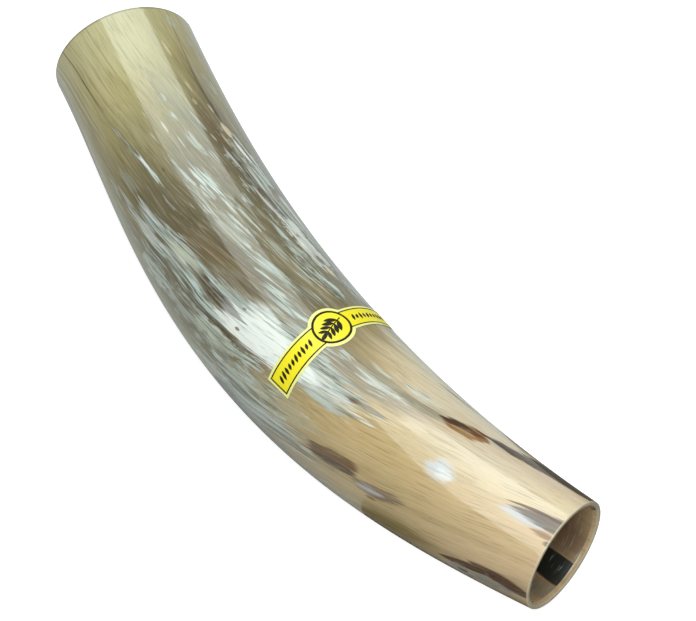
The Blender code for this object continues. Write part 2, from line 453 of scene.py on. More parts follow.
def turned_horn_tree(bend):
    """Turns the wall profile about +Z, keeps the straight grain as an attribute, and bends it."""
    inputs = {
        "Profile": GEOMETRY, "Steps Round": INT, "Waviness": FLOAT, **CURVE, "Outside": MATERIAL, "Inside": MATERIAL,
    }
    tree, nodes, given, result = new_tree("Turned Horn", "GeometryNodeTree", inputs, {"Geometry": GEOMETRY})
    profile = given["Profile"]
    rows = nodes.add("GeometryNodeAttributeDomainSize", {"Geometry": profile}, component="MESH").outputs[0]
    grid = nodes.add("GeometryNodeMeshGrid", {
        "Size X": 1.0, "Size Y": 1.0,
        "Vertices X": nodes.math("ADD", given["Steps Round"], 1.0), "Vertices Y": nodes.math("ADD", rows, 1.0),
    }).outputs["Mesh"]
    across, along, _ = nodes.separate(nodes.position())
    turn = nodes.times(nodes.math("ADD", across, 0.5), 2 * pi)
    row = nodes.math("ROUND", nodes.times(nodes.math("ADD", along, 0.5), rows))
    row = nodes.math("MODULO", row, rows)
    radius, _, station = nodes.separate(nodes.sampled(profile, nodes.position(), row, "FLOAT_VECTOR"))
    kept = nodes.stored(grid, "bore", nodes.sampled(profile, nodes.number("bore"), row, "FLOAT"), "FLOAT")
    straight = nodes.vector("ADD", nodes.scaled(nodes.circle(turn), radius), nodes.combine(0.0, 0.0, station))
    turned = nodes.placed(kept, Position=straight)
    closed = nodes.add("GeometryNodeMergeByDistance", {"Geometry": turned, "Distance": MERGE_DISTANCE}).outputs[0]

    place = nodes.position()
    grain = nodes.stored(closed, "grain", place)
    long_waves = nodes.noise(nodes.vector("MULTIPLY", place, (1.0, 1.0, 0.55)), 26.0, detail=1.0)
    height = nodes.times(nodes.minus(long_waves, 0.5), given["Waviness"])
    outward = nodes.vector("NORMALIZE", nodes.vector("MULTIPLY", place, (1.0, 1.0, 0.0)))
    uneven = nodes.placed(grain, Offset=nodes.scaled(outward, height))
    bent = nodes.group(bend, Geometry=uneven, **pick(given, CURVE))["Geometry"]
    flipped = nodes.add("GeometryNodeFlipFaces", {"Mesh": bent}).outputs[0]
    shaded = nodes.add("GeometryNodeSetShadeSmooth", {"Geometry": flipped, "Shade Smooth": True}).outputs[0]
    outside = nodes.finished(shaded, given["Outside"])
    within = nodes.add("FunctionNodeCompare", {0: nodes.number("bore"), 1: 0.5}, data_type="FLOAT",
                       operation="GREATER_THAN").outputs[0]
    both = nodes.add("GeometryNodeSetMaterial", {
        "Geometry": outside, "Selection": within, "Material": given["Inside"],
    }).outputs[0]
    nodes.feed(result, {"Geometry": both})
    return tree


def wrap_group(radius_rule, bend):
    """Wraps a flat piece onto the horn: x goes round it, y along it, and z stands off its surface."""
    tree, nodes, given, result = new_tree(
        "Wrap Onto Horn", "GeometryNodeTree", {"Geometry": GEOMETRY, **WRAP}, {"Geometry": GEOMETRY}
    )
    flat = nodes.position()
    kept = nodes.stored(given["Geometry"], "flat", flat)
    x, y, height = nodes.separate(flat)
    y = nodes.fused(nodes.times(x, x), given["Bow"], y)
    cosine, sine = nodes.math("COSINE", given["Tilt"]), nodes.math("SINE", given["Tilt"])
    round_way = nodes.minus(nodes.times(x, cosine), nodes.times(y, sine))
    along = nodes.math("ADD", nodes.times(x, sine), nodes.times(y, cosine))
    station = nodes.math("ADD", given["Station"], along)
    share = nodes.math("DIVIDE", station, given["Length"])
    surface = nodes.group(radius_rule, Share=share, **pick(given, RADII))["Radius"]
    turn = nodes.math("ADD", given["Angle"], nodes.math("DIVIDE", round_way, surface))
    outwards = nodes.scaled(nodes.circle(turn), nodes.math("ADD", surface, height))
    place = nodes.vector("ADD", outwards, nodes.combine(0.0, 0.0, station))
    straight = nodes.placed(kept, Position=place)
    nodes.feed(result, {"Geometry": nodes.group(bend, Geometry=straight, **pick(given, CURVE))["Geometry"]})
    return tree


def label_tree(wrap):
    """The paper: a thin strip whose outline swells to a roundel, wrapped onto the horn."""
    inputs = {**PAPER_SIZES, "Lift": FLOAT, **WRAP, "Material": MATERIAL}
    tree, nodes, given, result = new_tree("Banner Label", "GeometryNodeTree", inputs, {"Geometry": GEOMETRY})
    strip = nodes.slab(nodes.combine(given["Banner Length"], 2.0, given["Thickness"]), BANNER_GRID)
    x, y, z = nodes.separate(nodes.position())
    square = nodes.times(given["Roundel Radius"], given["Roundel Radius"])
    under = nodes.math("MAXIMUM", nodes.minus(square, nodes.times(x, x)), 0.0)
    half = nodes.math("MAXIMUM", nodes.math("SQRT", under), nodes.times(given["Banner Width"], 0.5))
    middle = nodes.fused(given["Thickness"], 0.5, given["Lift"])
    shape = nodes.combine(x, nodes.times(y, half), nodes.math("ADD", z, middle))
    wrapped = nodes.group(wrap, Geometry=nodes.placed(strip, Position=shape), **pick(given, WRAP))["Geometry"]
    nodes.feed(result, {"Geometry": nodes.finished(wrapped, given["Material"])})
    return tree


def blade(nodes, size, grid):
    """A thin leaf blade: a slab drawn in to a point at both ends."""
    x, y, z = nodes.separate(nodes.position())
    share = nodes.math("DIVIDE", x, size[0] / 2)
    swell = nodes.minus(1.02, nodes.times(share, share))
    return nodes.placed(nodes.slab(size, grid), Position=nodes.combine(x, nodes.times(y, swell), z))


def printed_outline(nodes, given, end, start, half_width):
    """The printed line along both edges and the end of one arm."""
    line, ink = given["Line Width"], given["Ink Height"]
    centre = nodes.times(nodes.math("ADD", end, start), 0.5)
    rail = nodes.slab(nodes.combine(nodes.minus(end, start), line, ink), RAIL_GRID)
    cap = nodes.slab(nodes.combine(line, nodes.fused(half_width, 2.0, line), ink), CAP_GRID)
    sides = [nodes.moved(rail, nodes.combine(centre, side)) for side in (half_width, nodes.times(half_width, -1.0))]
    return nodes.joined(*sides, nodes.moved(cap, nodes.combine(end)))


def printed_row(nodes, given, end, start):
    """The row of slanted strokes on one arm, where a real label has its lettering."""
    run = nodes.minus(end, start)
    spacing = nodes.math("DIVIDE", nodes.times(run, ROW_SHARE), given["Strokes"])
    points = nodes.add("GeometryNodeMeshLine", {
        "Count": given["Strokes"], "Start Location": nodes.combine(nodes.fused(run, ROW_START, start)),
        "Offset": nodes.combine(spacing),
    }, mode="OFFSET").outputs[0]
    size = nodes.add("FunctionNodeRandomValue", STROKE_SCALES, data_type="FLOAT").outputs[1]
    slant = nodes.add("FunctionNodeRandomValue", STROKE_SLANTS, data_type="FLOAT").outputs[1]
    return nodes.add("GeometryNodeInstanceOnPoints", {
        "Points": points, "Instance": nodes.moved(blade(nodes, STROKE_SIZE, STROKE_GRID), height=given["Ink Height"]),
        "Rotation": nodes.combine(0.0, 0.0, slant), "Scale": nodes.combine(size, 1.0, 1.0),
    }).outputs[0]


def printed_sprig(nodes, ink):
    """A stalk with pairs of leaf blades and one at its tip."""
    points = nodes.add("GeometryNodeMeshLine", {
        "Count": BLADE_PAIRS, "Start Location": (FIRST_PAIR, 0.0, 0.0), "Offset": (BLADE_SPACING, 0.0, 0.0),
    }, mode="OFFSET").outputs[0]
    leaf = nodes.moved(blade(nodes, BLADE_SIZE, BLADE_GRID), (BLADE_REACH, 0.0, 0.0), height=ink)
    shrink = nodes.fused(nodes.add("GeometryNodeInputIndex").outputs[0], SCALE_STEP, FIRST_SCALE)
    sides = [nodes.add("GeometryNodeInstanceOnPoints", {
        "Points": points, "Instance": leaf, "Rotation": (0.0, 0.0, turn), "Scale": nodes.combine(shrink, shrink, 1.0),
    }).outputs[0] for turn in (BLADE_TURN, -BLADE_TURN)]
    stalk = nodes.slab(nodes.combine(STALK_LENGTH, STALK_WIDTH, ink), STALK_GRID)
    stalk = nodes.moved(stalk, (STALK_MIDDLE, 0.0, 0.0))
    tip = nodes.moved(leaf, (TIP_PLACE, 0.0, 0.0))
    return nodes.moved(nodes.joined(stalk, tip, *sides), turn=SPRIG_TURN)


def print_tree(wrap):
    """The print: outline, ring, a sprig of leaves, and a row of slanted strokes on each arm."""
    inputs = {**PRINT_SIZES, "Lift": FLOAT, **WRAP, "Material": MATERIAL}
    tree, nodes, given, result = new_tree("Banner Print", "GeometryNodeTree", inputs, {"Geometry": GEOMETRY})
    ring_radius = nodes.minus(given["Roundel Radius"], given["Ring Margin"])
    circle = nodes.add("GeometryNodeCurvePrimitiveCircle", {"Resolution": RING_STEPS, "Radius": ring_radius})
    section = nodes.add("GeometryNodeCurvePrimitiveQuadrilateral", {
        "Width": given["Ring Width"], "Height": given["Ink Height"],
    })
    ring = nodes.add("GeometryNodeCurveToMesh", {
        "Curve": circle.outputs["Curve"], "Profile Curve": section.outputs[0],
    }).outputs[0]

    half_width = nodes.minus(nodes.times(given["Banner Width"], 0.5), given["Margin"])
    end = nodes.minus(nodes.times(given["Banner Length"], 0.5), given["Margin"])
    squares = nodes.minus(nodes.times(ring_radius, ring_radius), nodes.times(half_width, half_width))
    start = nodes.math("SQRT", squares)
    arm = nodes.joined(printed_outline(nodes, given, end, start, half_width), printed_row(nodes, given, end, start))
    arms = nodes.joined(arm, nodes.moved(arm, turn=pi))
    sprig = printed_sprig(nodes, given["Ink Height"])

    flat = nodes.add("GeometryNodeRealizeInstances", {"Geometry": nodes.joined(ring, arms, sprig)}).outputs[0]
    raised = nodes.moved(flat, nodes.combine(0.0, 0.0, given["Lift"]))
    wrapped = nodes.group(wrap, Geometry=raised, **pick(given, WRAP))["Geometry"]
    nodes.feed(result, {"Geometry": nodes.finished(wrapped, given["Material"])})
    return tree


# ---------------------------------------------------------------- shader node groups

def grain_group():
    """Unrolls the grain attribute into a vector that follows the fibres as they spiral round the horn."""
    tree, nodes, given, result = new_tree(
        "Horn Grain", "ShaderNodeTree", floats("Twist", "Radius", "Stretch"), {"Fibre": VECTOR}
    )
    x, y, station = nodes.separate(nodes.attribute("grain"))
    turn = nodes.fused(station, given["Twist"], nodes.math("ARCTAN2", y, x))
    along = nodes.combine(0.0, 0.0, nodes.times(station, given["Stretch"]))
    nodes.feed(result, {"Fibre": nodes.vector("ADD", nodes.scaled(nodes.circle(turn), given["Radius"]), along)})
    return tree


def mark_group():
    """One placed mark in the horn: a lens lying along the fibres, ragged at its edge."""
    inputs = {"Fibre": VECTOR, **floats("Ragged", "Twist", "Radius", "Station", "Angle", "Half Length", "Half Width",
                                        "Lean", "Softness", "Raggedness")}
    tree, nodes, given, result = new_tree("Horn Mark", "ShaderNodeTree", inputs, floats("Mask"))
    centre = nodes.fused(given["Station"], given["Twist"], given["Angle"])
    turned = nodes.add("ShaderNodeVectorRotate", {
        "Vector": given["Fibre"], "Angle": nodes.times(centre, -1.0),
    }, rotation_type="Z_AXIS").outputs[0]
    x, y, station = nodes.separate(turned)
    along = nodes.minus(station, given["Station"])
    across = nodes.times(nodes.math("ARCTAN2", y, x), given["Radius"])
    across = nodes.fused(along, given["Lean"], across)
    far = nodes.math("DIVIDE", along, given["Half Length"])
    wide = nodes.math("ABSOLUTE", nodes.math("DIVIDE", across, given["Half Width"]))
    lens = nodes.minus(nodes.minus(1.0, nodes.times(far, far)), wide)
    lens = nodes.fused(given["Ragged"], given["Raggedness"], lens)
    low = nodes.times(given["Softness"], -1.0)
    nodes.feed(result, {"Mask": nodes.smooth(lens, low, given["Softness"])})
    return tree


def brush_group():
    """Streaks like brush strokes along the fibres, as dense as the density asks."""
    tree, nodes, given, result = new_tree(
        "Horn Brush", "ShaderNodeTree", {"Fibre": VECTOR, **floats("Density", "Scale", "Softness")}, floats("Mask")
    )
    strokes = nodes.noise(nodes.vector("MULTIPLY", given["Fibre"], (1.0, 1.0, 0.075)), given["Scale"], 3.0, 0.62)
    clumps = nodes.noise(nodes.vector("MULTIPLY", given["Fibre"], (0.22, 0.22, 0.05)), given["Scale"], 2.0, 0.5)
    spread = nodes.smooth(nodes.mix(0.42, strokes, clumps), 0.30, 0.70)
    edge = nodes.minus(1.0, given["Density"])
    low, high = nodes.minus(edge, given["Softness"]), nodes.math("ADD", edge, given["Softness"])
    nodes.feed(result, {"Mask": nodes.smooth(spread, low, high)})
    return tree


# ---------------------------------------------------------------- the horn's figure

TWIST = radians(275.0)      # how far the fibres spiral round the horn, for each metre of length
FIBRE_RADIUS = 0.035        # radius at which the fibres are laid out

# One mark in the horn: where its middle lies (mm along, degrees round), half its size (mm), its
# colour, how strongly it shows, how soft and ragged its edge is, how it leans off the fibres, and
# whether its edge is cloudy rather than brushed out along them.
Mark = namedtuple(
    "Mark", "station angle half_length half_width paint strength soft ragged lean cloudy", defaults=(0.0, False)
)

BROAD_TONES = (
    Mark(25, 66, 60, 10, "umber", 0.34, 0.8, 0.4),
    Mark(28, 42, 52, 8, "amber", 0.55, 0.7, 0.4),
    # painted sheen: a faint grey-green lift along the top of the large end
    Mark(15, 98, 70, 9, "grey", 0.22, 0.8, 0.3),
    Mark(66, 167, 56, 8, "amber", 0.72, 0.7, 0.5),
    Mark(110, 60, 45, 6, "umber", 0.35, 0.8, 0.5),
    Mark(142, 118, 40, 8, "umber", 0.28, 0.7, 0.4),
    Mark(2, 118, 30, 34, "straw", 0.55, 0.8, 0.3),
    Mark(222, 52, 30, 8, "amber", 0.45, 0.7, 0.5),
    Mark(226, 103, 40, 6.5, "tongue", 0.78, 0.6, 0.6),
    Mark(222, 72, 26, 7, "tongue", 0.25, 0.7, 0.6),
    Mark(252, 37, 40, 7.5, "cream", 0.85, 0.7, 0.5),
    Mark(92, 60, 34, 7, "tongue", 0.85, 0.7, 0.6),
    Mark(262, 128, 44, 10, "honey", 0.45, 0.9, 0.5),
    Mark(262, 55, 46, 11, "cream", 0.75, 0.8, 0.5),
    Mark(318, 88, 48, 11, "cream", 0.75, 0.8, 0.4),
    Mark(282, 76, 52, 13, "shell", 0.50, 0.8, 0.4),
    Mark(215, 146, 36, 9, "tan", 0.50, 0.8, 0.6),
    Mark(275, 150, 60, 9, "tan", 0.35, 0.8, 0.4),
    Mark(272, 188, 20, 5, "amber", 0.75, 0.7, 0.5),
    Mark(205, 182, 30, 7, "tan", 0.35, 0.8, 0.6),
    Mark(200, 160, 28, 6, "pale", 0.35, 0.7, 0.6),
)

MILKY_STREAKS = (
    # belly side: long brushes that run up into the white flash
    Mark(132, 138, 40, 3.4, "milk", 0.72, 0.30, 1.5),
    Mark(122, 150, 34, 4.6, "milk", 0.80, 0.30, 1.5),
    Mark(110, 154, 26, 2.4, "white", 0.55, 0.30, 1.2),
    Mark(150, 146, 34, 3.4, "milk", 0.80, 0.30, 1.4),
    Mark(131, 140, 13, 3.2, "pale", 0.65, 0.40, 0.9),
    Mark(80, 131.5, 14, 1.3, "milk", 0.70, 0.30, 1.9, 0.05),
    Mark(83, 130, 10, 0.5, "white", 0.80, 0.30, 0.9, 0.05),
    Mark(102, 144, 14, 1.2, "white", 0.50, 0.30, 0.9),
    Mark(86, 160, 9, 1.0, "milk", 0.50, 0.35, 0.9),
    Mark(80, 150, 12, 2.2, "milk", 0.25, 0.50, 1.5),
    Mark(57, 140, 4, 0.9, "milk", 0.45, 0.35, 0.8),
    Mark(74, 168, 7, 1.6, "milk", 0.35, 0.50, 1.3),
    Mark(166, 157, 15, 4.6, "pale", 0.90, 0.40, 0.9, 0.0, True),
    Mark(120, 172, 12, 4.6, "milk", 0.70, 0.30, 1.4, 0.0, True),
    Mark(156, 163, 26, 6.5, "milk", 0.50, 0.50, 1.9, 0.0, True),
    Mark(190, 166, 20, 9.0, "milk", 0.55, 0.50, 1.9, -0.1, True),
    Mark(190, 182, 44, 6.5, "milk", 0.70, 0.50, 1.4),
    # top
    Mark(84, 88, 9, 1.3, "milk", 0.42, 0.40, 1.1),
    Mark(66, 93, 4, 1.2, "milk", 0.50, 0.35, 0.9),
    Mark(54, 95, 3, 1.5, "milk", 0.35, 0.40, 0.9),
    Mark(70, 103, 4, 0.5, "white", 0.45, 0.30, 0.6),
    Mark(87, 100, 8, 0.6, "milk", 0.40, 0.35, 0.8),
    Mark(105, 95, 11, 2.4, "milk", 0.75, 0.30, 1.6),
    Mark(112, 100, 5, 2.0, "milk", 0.50, 0.35, 1.4),
    Mark(94, 81, 5, 0.7, "milk", 0.50, 0.35, 0.8),
    Mark(72, 77, 7, 0.7, "milk", 0.35, 0.40, 0.9),
    Mark(128, 87, 13, 2.0, "milk", 0.50, 0.35, 1.7),
    Mark(152, 81, 12, 1.8, "milk", 0.35, 0.40, 1.7),
    Mark(164, 94, 19, 3.0, "milk", 0.60, 0.35, 1.7),
    Mark(182, 84, 8, 1.8, "milk", 0.30, 0.40, 1.5),
    Mark(180, 104, 14, 3.0, "milk", 0.65, 0.35, 1.4),
    Mark(130, 103, 24, 2.6, "milk", 0.28, 0.45, 1.9),
    Mark(122.5, 76, 4.6, 1.9, "milk", 0.78, 0.30, 0.8, 0.0, True),
    Mark(133, 72, 6, 0.8, "milk", 0.45, 0.35, 1.2),
    Mark(144, 68, 7, 1.6, "milk", 0.50, 0.35, 1.5),
    Mark(181, 71, 8, 1.8, "cream", 0.40, 0.35, 1.6),
    Mark(216, 99, 4, 1.8, "milk", 0.50, 0.40, 0.8, 0.0, True),
    Mark(238, 95, 15, 2.4, "milk", 0.50, 0.40, 1.8, -0.05),
    # far side: a broken net of white
    Mark(140, 47, 56, 7.5, "milk", 0.45, 0.35, 2.1, 0.0, True),
    Mark(104, 48, 13, 4.0, "milk", 0.65, 0.30, 1.7, 0.0, True),
    Mark(150, 51, 20, 4.2, "white", 0.50, 0.30, 2.0, 0.0, True),
    Mark(130, 41, 12, 1.6, "white", 0.60, 0.35, 1.1),
    Mark(158, 58, 14, 1.4, "white", 0.55, 0.30, 1.2, -0.1),
    Mark(185, 62, 9, 2.2, "milk", 0.65, 0.35, 1.1, -0.1, True),
    Mark(164, 66, 17, 3.0, "milk", 0.50, 0.40, 1.7, -0.05, True),
    Mark(172, 73, 13, 2.6, "milk", 0.45, 0.40, 1.7),
    Mark(171, 52, 4, 1.6, "cream", 0.60, 0.30, 0.9, 0.0, True),
    Mark(78, 57, 5, 1.6, "cream", 0.70, 0.30, 1.0),
    Mark(91, 53.5, 8, 1.1, "white", 0.80, 0.25, 0.6),
    Mark(96, 47, 8, 1.0, "white", 0.60, 0.30, 0.9),
    Mark(110, 58, 9, 0.9, "white", 0.75, 0.25, 0.6),
    Mark(127, 61, 12, 0.9, "white", 0.70, 0.25, 0.7, 0.06),
    Mark(97, 68, 7, 0.6, "white", 0.70, 0.25, 0.5),
    Mark(85, 63.5, 5, 0.6, "cream", 0.60, 0.30, 0.7),
    Mark(83, 73, 3, 0.5, "cream", 0.50, 0.30, 0.6),
    Mark(64, 61, 3, 0.8, "cream", 0.45, 0.35, 0.8),
    Mark(26, 72, 5, 0.7, "cream", 0.50, 0.30, 0.6),
    Mark(50, 70, 4, 0.6, "cream", 0.40, 0.35, 0.8),
    Mark(60, 71.5, 2, 0.8, "cream", 0.35, 0.35, 0.8),
    Mark(8, 57, 5, 1.9, "milk", 0.45, 0.45, 0.9, 0.0, True),
    Mark(46, 46, 6, 2.2, "milk", 0.42, 0.45, 1.2, 0.0, True),
    Mark(18, 45, 4, 1.4, "milk", 0.30, 0.50, 1.2, 0.0, True),
    # underside
    Mark(150, 222, 46, 5.0, "milk", 0.60, 0.35, 1.8, 0.0, True),
    Mark(185, 240, 34, 3.6, "milk", 0.60, 0.35, 1.7),
    Mark(120, 262, 30, 3.0, "milk", 0.50, 0.35, 1.7),
    Mark(170, 285, 50, 6.0, "haze", 0.70, 0.35, 1.6),
    Mark(140, 318, 36, 3.4, "milk", 0.60, 0.35, 1.8),
    Mark(205, 330, 30, 3.0, "milk", 0.45, 0.40, 1.7),
    # towards the mouth
    Mark(252, 77, 12, 2.2, "milk", 0.50, 0.45, 1.6, 0.0, True),
    Mark(281, 118.5, 7.0, 5.2, "mist", 0.85, 0.70, 0.6, 0.0, True),
    Mark(283, 120, 4.0, 3.6, "white", 0.40, 0.60, 0.5, 0.0, True),
    Mark(260, 103, 7, 2.6, "cream", 0.40, 0.50, 1.4),
    Mark(322, 112.5, 13, 3.2, "mist", 0.88, 0.55, 0.6),
    Mark(293, 66, 9, 1.6, "mist", 0.55, 0.45, 0.9),
)

WHITE_FLASH = (
    Mark(192, 122.5, 50, 10.0, "haze", 0.85, 0.22, 0.8, -0.10),
    Mark(188, 130, 28, 8.0, "white", 0.96, 0.20, 0.6, -0.05),
    Mark(176, 117, 10, 2.6, "white", 0.60, 0.30, 1.0),
    Mark(180, 138, 22, 3.0, "white", 0.92, 0.25, 0.8, -0.08),
    Mark(219, 125, 24, 5.0, "white", 0.52, 0.30, 1.3, -0.10),
    Mark(226, 130, 13, 3.0, "haze", 0.75, 0.30, 1.1),
    Mark(155, 136, 20, 2.4, "umber", 0.62, 0.25, 0.7),
    Mark(239, 115, 11, 1.4, "umber", 0.50, 0.40, 1.4),
    Mark(172, 147, 24, 0.9, "umber", 0.60, 0.30, 0.6),
    Mark(118, 159, 13, 0.7, "umber", 0.65, 0.30, 0.5),
    Mark(153, 152, 10, 0.9, "umber", 0.45, 0.35, 0.8),
)

DARK_MARKS = (
    # the dark tongue under the flash, with its dark upper edge
    Mark(148, 119.5, 30, 5.8, "tongue", 0.80, 0.35, 0.7),
    Mark(110, 62, 30, 3.6, "umber", 0.38, 0.7, 0.9),
    Mark(152, 109.5, 18, 0.45, "umber", 0.60, 0.45, 0.4, 0.0),
    # growth lines at the large end
    Mark(18, 149.5, 30, 0.5, "umber", 0.55, 0.45, 0.3),
    Mark(24, 162.5, 34, 0.45, "umber", 0.50, 0.45, 0.3),
    Mark(24, 168, 34, 0.75, "umber", 0.50, 0.50, 0.3),
    Mark(22, 121.5, 32, 0.4, "umber", 0.24, 0.6, 0.4),
    Mark(20, 128, 30, 0.4, "umber", 0.20, 0.6, 0.4),
    Mark(30, 133, 34, 0.4, "umber", 0.20, 0.6, 0.4),
    Mark(26, 141, 26, 0.4, "umber", 0.20, 0.6, 0.4),
    Mark(34, 155, 26, 0.4, "umber", 0.20, 0.6, 0.4),
    Mark(28, 113, 30, 0.35, "umber", 0.14, 0.6, 0.4),
    Mark(30, 57.5, 34, 0.5, "umber", 0.40, 0.50, 0.5, -0.19),
    Mark(52, 59, 18, 0.8, "umber", 0.55, 0.40, 0.6, -0.16),
    Mark(66, 57, 8, 0.9, "umber", 0.75, 0.35, 0.5, -0.16),
    Mark(94, 49.5, 7, 0.7, "umber", 0.75, 0.35, 0.5),
    Mark(120, 57.5, 9, 0.6, "umber", 0.50, 0.40, 0.6),
    # a thin dark line down the left side, from 110 to 154 mm along
    Mark(132, 178, 22, 1.2, "umber", 0.40, 0.50, 1.0),
    # pigment past the label
    Mark(239, 163, 14.5, 4.4, "maroon", 0.76, 0.28, 0.7),
    Mark(239, 166, 12, 2.0, "umber", 0.70, 0.45, 1.2),
    Mark(263, 163.5, 13, 3.2, "mauve", 0.70, 0.35, 1.1),
    Mark(259, 166, 7, 1.3, "mist", 0.60, 0.40, 1.5),
    Mark(260, 173, 3, 0.6, "umber", 0.70, 0.35, 0.5),
    Mark(238, 88.5, 30, 2.6, "smoke", 0.42, 0.60, 1.3, -0.02),
    Mark(260, 83.5, 15, 3.2, "smoke", 0.55, 0.60, 1.1, 0.02),
    Mark(277.5, 77, 11.5, 4.5, "bark", 0.92, 0.18, 0.5, 0.13),
    Mark(276, 75, 10.5, 2.6, "maroon", 0.85, 0.45, 0.9, 0.13),
    Mark(271, 78, 6.5, 2.0, "umber", 0.80, 0.50, 0.9, 0.10),
    Mark(275, 81, 6.0, 0.8, "maroon", 0.60, 0.45, 1.0, 0.13),
    Mark(276, 79.5, 6.5, 1.0, "honey", 0.60, 0.45, 0.8, 0.10),
    Mark(262, 47, 12.5, 0.9, "umber", 0.85, 0.35, 0.6),
    Mark(304, 58, 20, 3.4, "umber", 0.94, 0.25, 0.5, 0.10),
    Mark(338, 34, 40, 9.6, "umber", 0.97, 0.14, 0.20, 0.125),
    Mark(334, 104, 21, 4.0, "mauve", 0.92, 0.30, 0.3, 0.03),
    Mark(323, 102.5, 13, 1.1, "maroon", 0.90, 0.35, 0.5, 0.06),
    Mark(334, 99.5, 7, 1.0, "maroon", 0.85, 0.35, 0.5),
    Mark(336, 110, 6, 1.3, "maroon", 0.60, 0.40, 0.6),
    Mark(332, 117, 7, 1.7, "rust", 0.75, 0.40, 0.6, -0.1),
    Mark(338, 122, 5, 1.8, "umber", 0.85, 0.35, 0.5),
    Mark(308, 183.5, 15, 3.4, "maroon", 0.95, 0.25, 0.12, 0.12),
    Mark(325, 180, 18, 4.3, "maroon", 0.95, 0.25, 0.12, -0.33),
    Mark(312, 195, 22, 4.0, "mist", 0.55, 0.45, 1.4, 0.0, True),
    Mark(305, 197, 3, 1.4, "umber", 0.80, 0.35, 0.5),
    Mark(318, 191, 18, 4.0, "smoke", 0.55, 0.45, 2.0, 0.0, True),
    # underside
    Mark(60, 250, 40, 0.8, "umber", 0.35, 0.5, 0.5),
    Mark(292, 262, 22, 4.0, "maroon", 0.80, 0.25, 0.6),
    Mark(262, 312, 16, 3.4, "bark", 0.75, 0.30, 0.7),
    # pits
    Mark(234, 117.3, 2.6, 0.8, "pit", 0.80, 0.40, 0.6),
    Mark(170, 125, 1.2, 0.5, "pit", 0.75, 0.40, 0.5),
    Mark(173.5, 137.5, 1.4, 0.7, "pit", 0.85, 0.40, 0.5),
    Mark(90, 119.5, 1.6, 0.5, "umber", 0.45, 0.35, 0.3),
)

BORE_MARKS = (
    # painted shade: a broad maroon darkening over the side of the bore that lies in shadow at the mouth
    Mark(310, -34, 34, 22, "maroon", 0.60, 0.8, 0.3),
    Mark(331, -74, 34, 9.8, "black", 0.98, 0.07, 0.15),
    Mark(334, -106, 17, 8.0, "smoke", 0.60, 0.5, 0.5),
)


# Soft steps between the horn's own colours, in metres from the large end, and how far slow clouds
# carry them along the horn.
KHAKI_TO_OLIVE, OLIVE_TO_TAN, TAN_TO_PEACH = (0.028, 0.092), (0.188, 0.245), (0.250, 0.325)
CLOUD_REACH = 0.06

# Scattered milky streaks: the soft steps at which they start and end, how much of the horn they
# cover in between, and how strongly they show.
STREAKS_START, STREAKS_END = (0.050, 0.100), (0.275, 0.200)
STREAK_COVER, STREAK_STRENGTH = 0.19, 0.55

FIBRE_DRIFT = 0.005         # how far the fibres stray sideways
MARK_NUDGE = 0.0001         # how far each mark moves the next one along
PALE_RIM, DARK_RIM = (0.0008, 0.0003), (0.0016, 0.0004)
SHADE_DEPTH = 0.045         # how deep the bore's inner shade runs in from the mouth
HAIR_RELIEF = 0.0002        # heights that the bump maps stand for, on horn and on paper
PULP_RELIEF = 0.00005
OUTLINE_BLUR = 0.00003      # half the soft edge between the label's two yellows


def unrolled(nodes):
    """The fibre coordinates and the plain distance along the horn."""
    spread = nodes.group(bpy.data.node_groups["Horn Grain"], Twist=TWIST, Radius=FIBRE_RADIUS, Stretch=1.0)
    return spread["Fibre"], nodes.separate(spread["Fibre"])[2]


def stretched(nodes, fibre, across, along):
    """Fibre coordinates scaled so that a pattern runs with the fibres."""
    return nodes.add("ShaderNodeMapping", {"Vector": fibre, "Scale": (across, across, along)}).outputs[0]


def grain_noise(nodes, fibre, along, scale, detail, roughness, across=1.0):
    """Noise drawn out along the fibres; the smaller along is, the longer its streaks are."""
    return nodes.noise(stretched(nodes, fibre, across, along), scale, detail, roughness)


def edge_noise(nodes, fibre, along, scale, detail, roughness, gain):
    """Grain noise about zero, which makes a mark's edge ragged."""
    return nodes.times(nodes.minus(grain_noise(nodes, fibre, along, scale, detail, roughness), 0.5), gain)


def add_marks(nodes, tone, fibre, edges, marks, paints):
    """Lays the marks over a colour, one after another, each nudged a little by the one before it.

    The edges are the brushed and the cloudy edge noise.  The nudge also keeps the shader's working
    memory small, because no mark is worked out before its turn."""
    group = bpy.data.node_groups["Horn Mark"]
    here = fibre
    for mark in marks:
        mask = nodes.group(
            group, Fibre=here, Ragged=edges[mark.cloudy], Twist=TWIST, Radius=FIBRE_RADIUS,
            Station=mark.station * MM, Angle=radians(mark.angle), Half_Length=mark.half_length * MM,
            Half_Width=mark.half_width * MM, Lean=mark.lean, Softness=mark.soft, Raggedness=mark.ragged,
        )["Mask"]
        shown = nodes.times(mask, mark.strength)
        tone = nodes.mix_colour(shown, tone, paints[mark.paint])
        here = nodes.vector("MULTIPLY_ADD", shown, (0.0, 0.0, MARK_NUDGE), fibre)
    return tone


def new_material(name):
    """A material with an empty Principled shader: (material, its node writer, the shader)."""
    material = bpy.data.materials.new(name)
    material.use_nodes = True
    material.node_tree.nodes.clear()
    nodes = Nodes(material.node_tree)
    shader = nodes.add("ShaderNodeBsdfPrincipled")
    nodes.add("ShaderNodeOutputMaterial", {"Surface": shader.outputs[0]})
    return material, nodes, shader


def horn_paints(colours):
    return {name: tuple(getattr(colours, name)) for name in PAINTS}


